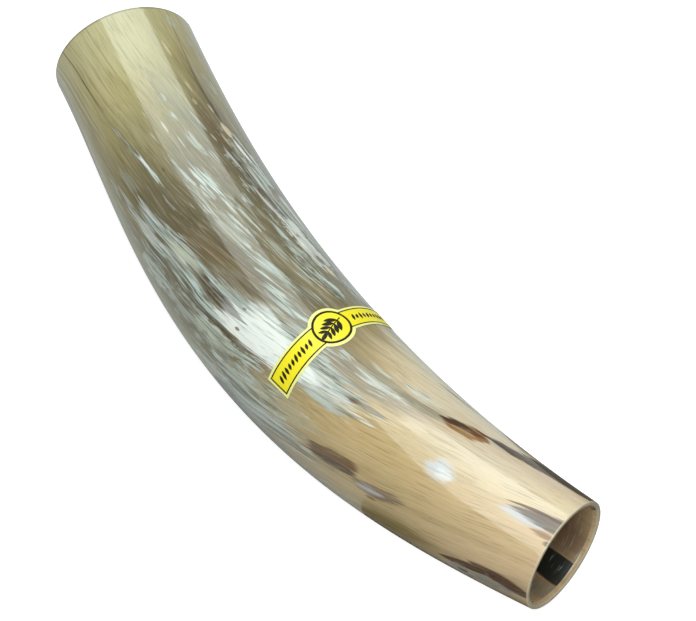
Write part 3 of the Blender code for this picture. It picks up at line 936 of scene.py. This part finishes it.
def body_tone(nodes, fibre, station, paints):
    """The horn's own colour: khaki, olive, tan and peach in turn, with slow clouds and fine fibres."""
    clouds = grain_noise(nodes, fibre, 0.35, 28.0, 3.0, 0.55)
    shift = nodes.fused(nodes.minus(clouds, 0.5), CLOUD_REACH, station)
    tone = paints["khaki"]
    for step, paint in ((KHAKI_TO_OLIVE, "olive"), (OLIVE_TO_TAN, "tan"), (TAN_TO_PEACH, "peach")):
        tone = nodes.mix_colour(nodes.smooth(shift, *step), tone, paints[paint])
    bands = grain_noise(nodes, fibre, 0.045, 150.0, 4.0, 0.62)
    tone = nodes.mix_colour(nodes.smooth(bands, 0.50, 0.72, 0.0, 0.22), tone, paints["cream"])
    return nodes.mix_colour(nodes.smooth(bands, 0.50, 0.30, 0.0, 0.30), tone, paints["olive"])


def rims(nodes, tone, station, total, paints):
    """Pale sawn edge at the mouth and a thin dark one at the large end."""
    pale = nodes.smooth(station, *(total - depth for depth in PALE_RIM), 0.0, 0.80)
    dark = nodes.smooth(station, *DARK_RIM, 0.0, 0.55)
    return nodes.mix_colour(dark, nodes.mix_colour(pale, tone, paints["cream"]), paints["umber"])


def polished_horn(colours, total):
    """Polished outside: layered fibres, milky streaks and dark pigment under a clear gloss."""
    material, nodes, shader = new_material("polished_horn")
    paints = horn_paints(colours)
    fibre, station = unrolled(nodes)
    drift = nodes.add("ShaderNodeTexNoise", {
        "Vector": stretched(nodes, fibre, 1.0, 0.5), "Scale": 45.0, "Detail": 1.0,
    }).outputs["Color"]
    drift = nodes.vector("MULTIPLY", nodes.vector("SUBTRACT", drift, (0.5, 0.5, 0.5)), (FIBRE_DRIFT, FIBRE_DRIFT, 0.0))
    fibre = nodes.vector("ADD", fibre, drift)
    tone = body_tone(nodes, fibre, station, paints)

    hairs = grain_noise(nodes, fibre, 0.035, 1500.0, 4.0, 0.65)
    layers = nodes.mix(0.5, hairs, grain_noise(nodes, fibre, 0.045, 560.0, 3.0, 0.6))
    paints.update({
        "haze": nodes.mix_colour(nodes.smooth(layers, 0.38, 0.54), paints["slate"], paints["haze"]),
        "white": nodes.mix_colour(nodes.smooth(hairs, 0.30, 0.50), paints["milk"], paints["white"]),
        "milk": nodes.mix_colour(nodes.smooth(layers, 0.42, 0.56), paints["slate"], paints["milk"]),
    })
    brushed = edge_noise(nodes, fibre, 0.055, 760.0, 3.0, 0.64, 3.2)
    cloudy = edge_noise(nodes, fibre, 0.45, 300.0, 5.0, 0.70, 3.2)
    tone = add_marks(nodes, tone, fibre, (brushed, cloudy), BROAD_TONES, paints)
    density = nodes.times(nodes.smooth(station, *STREAKS_START), nodes.smooth(station, *STREAKS_END))
    streaks = nodes.group(bpy.data.node_groups["Horn Brush"], Fibre=fibre, Scale=620.0, Softness=0.06,
                          Density=nodes.times(density, STREAK_COVER))["Mask"]
    tone = nodes.mix_colour(nodes.times(streaks, STREAK_STRENGTH), tone, paints["milk"])
    marks = (*MILKY_STREAKS, *WHITE_FLASH, *DARK_MARKS)
    tone = add_marks(nodes, tone, fibre, (brushed, cloudy), marks, paints)
    tone = nodes.mix_colour(nodes.smooth(hairs, 0.50, 0.68, 0.0, 0.18), tone, paints["cream"])
    tone = nodes.mix_colour(nodes.smooth(hairs, 0.50, 0.32, 0.0, 0.30), tone, paints["umber"])

    scuffs = grain_noise(nodes, fibre, 1.0, 90.0, 4.0, 0.7)
    ridges = grain_noise(nodes, fibre, 0.06, 260.0, 2.0, 0.5)
    nodes.feed(shader, {
        "Base Color": rims(nodes, tone, station, total, paints),
        "Roughness": nodes.smooth(scuffs, 0.35, 0.75, 0.16, 0.26),
        "Normal": nodes.bump(nodes.fused(ridges, 0.7, hairs), 0.10, HAIR_RELIEF),
        "IOR": 1.54, "Specular IOR Level": 0.22, "Coat Weight": 1.0, "Coat Roughness": 0.03,
    })
    return material


def bored_horn(colours, total):
    """Inside of the horn: duller, with turning marks left by the reamer, painted shade deeper in the bore, and painted
    shade over one side at the mouth.
    """
    material, nodes, shader = new_material("bored_horn")
    paints = horn_paints(colours)
    fibre, station = unrolled(nodes)
    tone = nodes.mix_colour(0.30, body_tone(nodes, fibre, station, paints), paints["bark"])
    # painted shade: the bore darkens towards umber deeper in from the mouth
    tone = nodes.mix_colour(nodes.smooth(station, total, total - SHADE_DEPTH, 0.0, 0.60), tone, paints["umber"])
    brushed = edge_noise(nodes, fibre, 0.12, 380.0, 4.0, 0.62, 3.0)
    cloudy = edge_noise(nodes, fibre, 0.6, 300.0, 4.0, 0.62, 3.0)
    tone = add_marks(nodes, tone, fibre, (brushed, cloudy), BORE_MARKS, paints)
    rings = grain_noise(nodes, fibre, 1.0, 900.0, 3.0, 0.6, across=0.06)
    nodes.feed(shader, {
        "Base Color": nodes.mix_colour(nodes.smooth(rings, 0.58, 0.70, 0.0, 0.42), tone, paints["milk"]),
        "Roughness": nodes.smooth(rings, 0.3, 0.7, 0.42, 0.60),
        "Normal": nodes.bump(rings, 0.35, HAIR_RELIEF), "IOR": 1.50,
    })
    return material


def printed_paper(settings):
    """Glossy yellow paper with a pale border outside its printed outline."""
    material, nodes, shader = new_material("printed_paper")
    flat = nodes.attribute("flat")
    x, y, _ = nodes.separate(flat)
    reach = nodes.minus(settings.banner_length / 2 - settings.margin, nodes.math("ABSOLUTE", x))
    side = nodes.minus(settings.banner_width / 2 - settings.margin, nodes.math("ABSOLUTE", y))
    spread = nodes.math("SQRT", nodes.math("ADD", nodes.times(x, x), nodes.times(y, y)))
    roundel = nodes.minus(settings.roundel_radius - settings.margin, spread)
    inside = nodes.math("MAXIMUM", nodes.math("MINIMUM", reach, side), roundel)
    printed = nodes.smooth(inside, -OUTLINE_BLUR, OUTLINE_BLUR)
    tone = nodes.mix_colour(printed, tuple(settings.border), tuple(settings.paper))
    pulp = nodes.noise(flat, 2600.0, 3.0, 0.6)
    nodes.feed(shader, {
        "Base Color": nodes.mix_colour(nodes.smooth(pulp, 0.45, 0.75, 0.0, 0.12), tone, tuple(settings.border)),
        "Roughness": nodes.smooth(pulp, 0.3, 0.7, 0.30, 0.42), "Normal": nodes.bump(pulp, 0.15, PULP_RELIEF),
    })
    return material


def print_ink(settings):
    """Black-green print, a little uneven."""
    material, nodes, shader = new_material("print_ink")
    pulp = nodes.noise(nodes.attribute("flat"), 2200.0, 3.0, 0.6)
    thin = nodes.smooth(pulp, 0.5, 0.8, 0.0, 0.06)
    nodes.feed(shader, {
        "Base Color": nodes.mix_colour(thin, tuple(settings.ink), tuple(settings.paper)),
        "Roughness": nodes.smooth(pulp, 0.3, 0.7, 0.50, 0.66), "Normal": nodes.bump(pulp, 0.10, PULP_RELIEF),
        "Specular IOR Level": 0.25,
    })
    return material


# ---------------------------------------------------------------- making pieces

REAMED_EDGE = 0.00015       # width of the flat left between the reamed band and the mouth's face
REAMED_DROP = 0.00008       # how far that flat falls towards the bore
WAVE_CLEARANCE = 0.75       # share of the waviness by which the paper stays clear of the horn


def wall_profile(shape):
    """The wall's closed outline as (radius, station, bore) points, its edges rounded but for the reamed chamfer inside
    the mouth.
    """
    total, edge = shape.horn_length, shape.edge_radius
    chamfer, depth = shape.mouth_chamfer, shape.chamfer_depth

    def blend(values, share):
        values = list(values)
        while len(values) > 1:
            values = [a + (b - a) * share for a, b in zip(values, values[1:])]
        return values[0]

    def outer(station):
        return blend(shape.radii, station / total)

    def bore(station):
        return outer(station) - blend(shape.walls, station / total)

    def corner(radius, station, start, inside):
        turns = [start + pi / 2 * i / shape.edge_steps for i in range(shape.edge_steps + 1)]
        return [(radius + edge * cos(t), station + edge * sin(t), inside) for t in turns]

    def run(rule, start, end, rows, inside):
        stations = [start + (end - start) * i / rows for i in range(1, rows)]
        return [(rule(station), station, inside) for station in stations]

    points = corner(outer(0) - edge, edge, -pi / 2, 0.0)
    points += run(outer, edge, total - edge, shape.outer_rows, 0.0)
    points += corner(outer(total) - edge, total - edge, 0.0, 0.0)
    lip = bore(total - depth) + chamfer
    points += [(lip + REAMED_EDGE, total, 0.0), (lip, total - REAMED_DROP, 0.0), (lip - chamfer, total - depth, 0.4)]
    points += run(bore, total - depth, edge, shape.bore_rows, 1.0)
    inner = [(2 * (bore(0) + edge) - radius, station, inside)
             for radius, station, inside in corner(bore(0) + edge, edge, -pi / 2, 0.6)]
    return points + inner[::-1]


def rest_turn(shape):
    """Turns the horn from its bending plane to how it lies on a table."""
    return Matrix.Rotation(shape.rest_pitch, 4, "Y") @ Matrix.Rotation(shape.rest_roll, 4, "X")


def placed_object(name, data):
    """A new object in the scene."""
    item = bpy.data.objects.new(name, data)
    bpy.context.scene.collection.objects.link(item)
    return item


def grown(name, tree, values, base=None):
    """Runs a geometry node tree on a base mesh and keeps the result as a plain object."""
    source = placed_object(name + "_source", base or bpy.data.meshes.new(name + "_source"))
    modifier = source.modifiers.new(name, "NODES")
    modifier.node_group = tree
    for item in tree.interface.items_tree:
        if item.in_out == "INPUT" and item.name in values:
            modifier[item.identifier] = values[item.name]
    graph = bpy.context.evaluated_depsgraph_get()
    mesh = bpy.data.meshes.new_from_object(source.evaluated_get(graph), depsgraph=graph)
    if not mesh.polygons:
        raise RuntimeError(name + " came out empty")
    mesh.name = name
    base_mesh = source.data
    bpy.data.objects.remove(source)
    bpy.data.meshes.remove(base_mesh)
    return placed_object(name, mesh)


def socket_values(settings, sockets):
    """The settings that have a socket's name, by that name."""
    fields = {socket: socket.lower().replace(" ", "_") for socket in sockets}
    return {socket: getattr(settings, field) for socket, field in fields.items() if hasattr(settings, field)}


def shape_values(shape):
    radii = {f"Radius {i}": radius for i, radius in enumerate(shape.radii)}
    return {**radii, "Length": shape.horn_length, **socket_values(shape, CURVE)}


def label_values(shape, label, material, lift):
    """What both of the label's trees are given; the lift is from the horn's surface."""
    own = socket_values(label, (*WRAP, *PAPER_SIZES, *PRINT_SIZES))
    clear = shape.waviness * WAVE_CLEARANCE + lift
    return {**shape_values(shape), **own, "Lift": clear, "Material": material}


def laid_down(piece, shape):
    piece.data.transform(Matrix.Translation(Vector(shape.placement)) @ rest_turn(shape))
    piece.data.update()


class HORNCALL_OT_horn(bpy.types.Operator):
    """Make the horn's polished shell"""

    bl_idname = "horncall.horn"
    bl_label = "Make Horn"

    def execute(self, context):
        shape, colours = context.scene.horn_shape, context.scene.horn_colours
        profile = wall_profile(shape)
        base = bpy.data.meshes.new("wall_profile")
        base.from_pydata([(radius, 0.0, station) for radius, station, _ in profile], [], [])
        inside = base.attributes.new("bore", "FLOAT", "POINT")
        inside.data.foreach_set("value", [point[2] for point in profile])

        for make_group in (grain_group, mark_group, brush_group):
            make_group()
        values = {
            **shape_values(shape), "Steps Round": shape.steps_round, "Waviness": shape.waviness,
            "Outside": polished_horn(colours, shape.horn_length), "Inside": bored_horn(colours, shape.horn_length),
        }
        horn = grown("horn_shell", turned_horn_tree(bend_group(heading_group())), values, base)
        horn.data.transform(rest_turn(shape))
        low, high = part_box("horn")
        spans = [[vertex.co[axis] for vertex in horn.data.vertices] for axis in range(3)]
        shift = [(low[axis] + high[axis] - min(spans[axis]) - max(spans[axis])) / 2 for axis in range(2)]
        shift.append(low[2] - min(spans[2]))
        horn.data.transform(Matrix.Translation(Vector(shift)))
        horn.data.update()
        shape.placement = shift
        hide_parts("horn")
        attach(horn, "root")
        return {"FINISHED"}


class HORNCALL_OT_label(bpy.types.Operator):
    """Make the paper label"""

    bl_idname = "horncall.label"
    bl_label = "Make Label"

    def execute(self, context):
        shape, label = context.scene.horn_shape, context.scene.horn_label
        wrap = wrap_group(radius_group(), bpy.data.node_groups["Bend Along Horn"])
        paper = grown("banner_paper", label_tree(wrap), label_values(shape, label, printed_paper(label), 0.0))
        laid_down(paper, shape)
        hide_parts("label")
        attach(paper, "root")
        return {"FINISHED"}


class HORNCALL_OT_print(bpy.types.Operator):
    """Make the label's outline, ring, sprig and strokes"""

    bl_idname = "horncall.print"
    bl_label = "Make Print"

    def execute(self, context):
        shape, label = context.scene.horn_shape, context.scene.horn_label
        values = label_values(shape, label, print_ink(label), label.thickness + label.ink_height / 2)
        ink = grown("banner_print", print_tree(bpy.data.node_groups["Wrap Onto Horn"]), values)
        laid_down(ink, shape)
        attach(ink, "root")
        return {"FINISHED"}


# ---------------------------------------------------------------- stage

# Outline of the overhead panel, whose reflection is the broad sheen along the horn.
PANEL_OUTLINE = (
    (-0.95, 0.02), (-0.62, -0.02), (-0.46, 0.00), (-0.30, -0.05), (-0.19, -0.05), (-0.08, -0.085), (0.01, -0.21),
    (0.10, -0.33), (0.18, -0.39), (0.30, -0.50), (0.62, -0.72), (0.90, -0.10), (0.36, 0.25), (-0.02, 0.54),
    (-0.13, 0.556), (-0.112, 0.433), (-0.161, 0.376), (-0.22, 0.305), (-0.50, 0.47), (-0.61, 0.74),
    (-0.66, 0.95), (-0.95, 1.25),
)
DARK_CARD = ((0.09, -0.50), (0.50, -0.50), (0.50, 0.60), (0.07, 0.60))
LIGHT_CARD = ((-0.80, -0.60), (-0.02, -0.60), (-0.02, -0.03), (-0.80, -0.03))
CARD_HEIGHT = 0.0004
CARD_TINT = (1.0, 0.97, 0.88)
SENSOR_WIDTH = 36.0
VIEW_RANGE = (0.05, 60.0)


def flat_sheet(name, corners, height, material):
    """One flat face with these corners, as an object in the scene."""
    mesh = bpy.data.meshes.new(name)
    mesh.from_pydata([(x, y, height) for x, y in corners], [], [tuple(range(len(corners)))])
    mesh.materials.append(material)
    return placed_object(name, mesh)


def dull_material(name, tone):
    """A plain matt material: (material, its node writer, the shader)."""
    material, nodes, shader = new_material(name)
    nodes.feed(shader, {"Base Color": (*tone, 1.0), "Roughness": 0.9, "Specular IOR Level": 0.0})
    return material, nodes, shader


def card(name, brightness, corners):
    """A flat card on the floor that is seen only in reflections."""
    material, _, _ = dull_material(name, [brightness * part for part in CARD_TINT])
    sheet = flat_sheet(name, corners, CARD_HEIGHT, material)
    sheet.visible_camera = sheet.visible_diffuse = sheet.visible_transmission = sheet.visible_shadow = False
    return sheet


def white_floor(stage):
    """A pale floor that looks white to the camera."""
    half = stage.floor_size / 2
    material, nodes, shader = dull_material("floor_white", (stage.floor_tone,) * 3)
    seen = nodes.add("ShaderNodeLightPath").outputs["Is Camera Ray"]
    nodes.feed(shader, {
        "Emission Color": (1.0, 1.0, 1.0, 1.0), "Emission Strength": nodes.times(seen, stage.floor_glow),
    })
    return flat_sheet("studio_floor", ((-half, -half), (half, -half), (half, half), (-half, half)), 0.0, material)


def diffuser_panel(stage):
    """The soft light overhead, which faces down."""
    material = bpy.data.materials.new("diffuser_light")
    material.use_nodes = True
    material.node_tree.nodes.clear()
    nodes = Nodes(material.node_tree)
    glow = nodes.add("ShaderNodeEmission", {"Color": (*stage.panel_tint, 1.0), "Strength": stage.panel_light})
    nodes.add("ShaderNodeOutputMaterial", {"Surface": glow.outputs[0]})
    panel = flat_sheet("diffuser_panel", PANEL_OUTLINE[::-1], stage.panel_height, material)
    panel.visible_camera = panel.visible_shadow = False
    return panel


def studio_world(stage):
    """Light from all round: white behind the object, and dim where it is reflected."""
    world = bpy.data.worlds.new("studio_world")
    world.use_nodes = True
    world.node_tree.nodes.clear()
    nodes = Nodes(world.node_tree)
    path = nodes.add("ShaderNodeLightPath").outputs
    strength = nodes.mix(path["Is Glossy Ray"], stage.fill, stage.gloss_fill)
    strength = nodes.mix(path["Is Camera Ray"], strength, stage.backdrop)
    sky = nodes.add("ShaderNodeBackground", {"Color": (1.0, 1.0, 1.0, 1.0), "Strength": strength})
    nodes.add("ShaderNodeOutputWorld", {"Surface": sky.outputs[0]})
    return world


def studio_camera(stage):
    """A camera turned round the point that it looks at."""
    back = Vector((sin(stage.azimuth) * cos(stage.elevation), -cos(stage.azimuth) * cos(stage.elevation),
                   sin(stage.elevation)))
    right = (-back).cross(Vector((0.0, 0.0, 1.0))).normalized()
    across = cos(stage.roll) * right + sin(stage.roll) * right.cross(-back)
    turn = Matrix((across, back.cross(across), back)).transposed()
    data = bpy.data.cameras.new("studio_camera")
    data.lens, data.sensor_width = stage.lens, SENSOR_WIDTH
    data.clip_start, data.clip_end = VIEW_RANGE
    camera = placed_object("studio_camera", data)
    camera.matrix_world = Matrix.Translation(Vector(stage.aim) + back * stage.distance) @ turn.to_4x4()
    return camera


class HORNCALL_OT_stage(bpy.types.Operator):
    """Make the floor, the lights and the camera"""

    bl_idname = "horncall.stage"
    bl_label = "Make Stage"

    def execute(self, context):
        scene, stage = context.scene, context.scene.horn_stage
        floor, panel = white_floor(stage), diffuser_panel(stage)
        cards = card("dark_card", stage.dark_card, DARK_CARD), card("light_card", stage.light_card, LIGHT_CARD)
        scene.world = studio_world(stage)
        scene.camera = studio_camera(stage)
        scene.view_settings.view_transform = "Standard"
        return {"FINISHED"}


# ---------------------------------------------------------------- add-on

class HORNCALL_PT_panel(bpy.types.Panel):
    """Lists the pieces and their sizes"""

    bl_label = "Horn Call"
    bl_idname = "HORNCALL_PT_panel"
    bl_space_type = "VIEW_3D"
    bl_region_type = "UI"
    bl_category = "Horn Call"

    def draw(self, context):
        layout, scene = self.layout, context.scene
        for operator in OPERATORS:
            layout.operator(operator.bl_idname)
        for group in GROUPS:
            holder = getattr(scene, group)
            box = layout.box()
            for name in holder.__annotations__:
                box.prop(holder, name)


GROUPS = {
    "horn_shape": HornShape, "horn_colours": HornColours, "horn_label": LabelSettings, "horn_stage": StageSettings,
}
OPERATORS = (HORNCALL_OT_horn, HORNCALL_OT_label, HORNCALL_OT_print, HORNCALL_OT_stage)
CLASSES = (*GROUPS.values(), *OPERATORS, HORNCALL_PT_panel)


def register():
    for cls in CLASSES:
        bpy.utils.register_class(cls)
    for name, group in GROUPS.items():
        setattr(bpy.types.Scene, name, PointerProperty(type=group))


def unregister():
    for name in GROUPS:
        delattr(bpy.types.Scene, name)
    for cls in reversed(CLASSES):
        bpy.utils.unregister_class(cls)


def main():
    register()
    bpy.ops.horncall.horn()
    bpy.ops.horncall.label()
    bpy.ops.horncall.print()
    bpy.ops.horncall.stage()


if __name__ == "__main__":
    main()
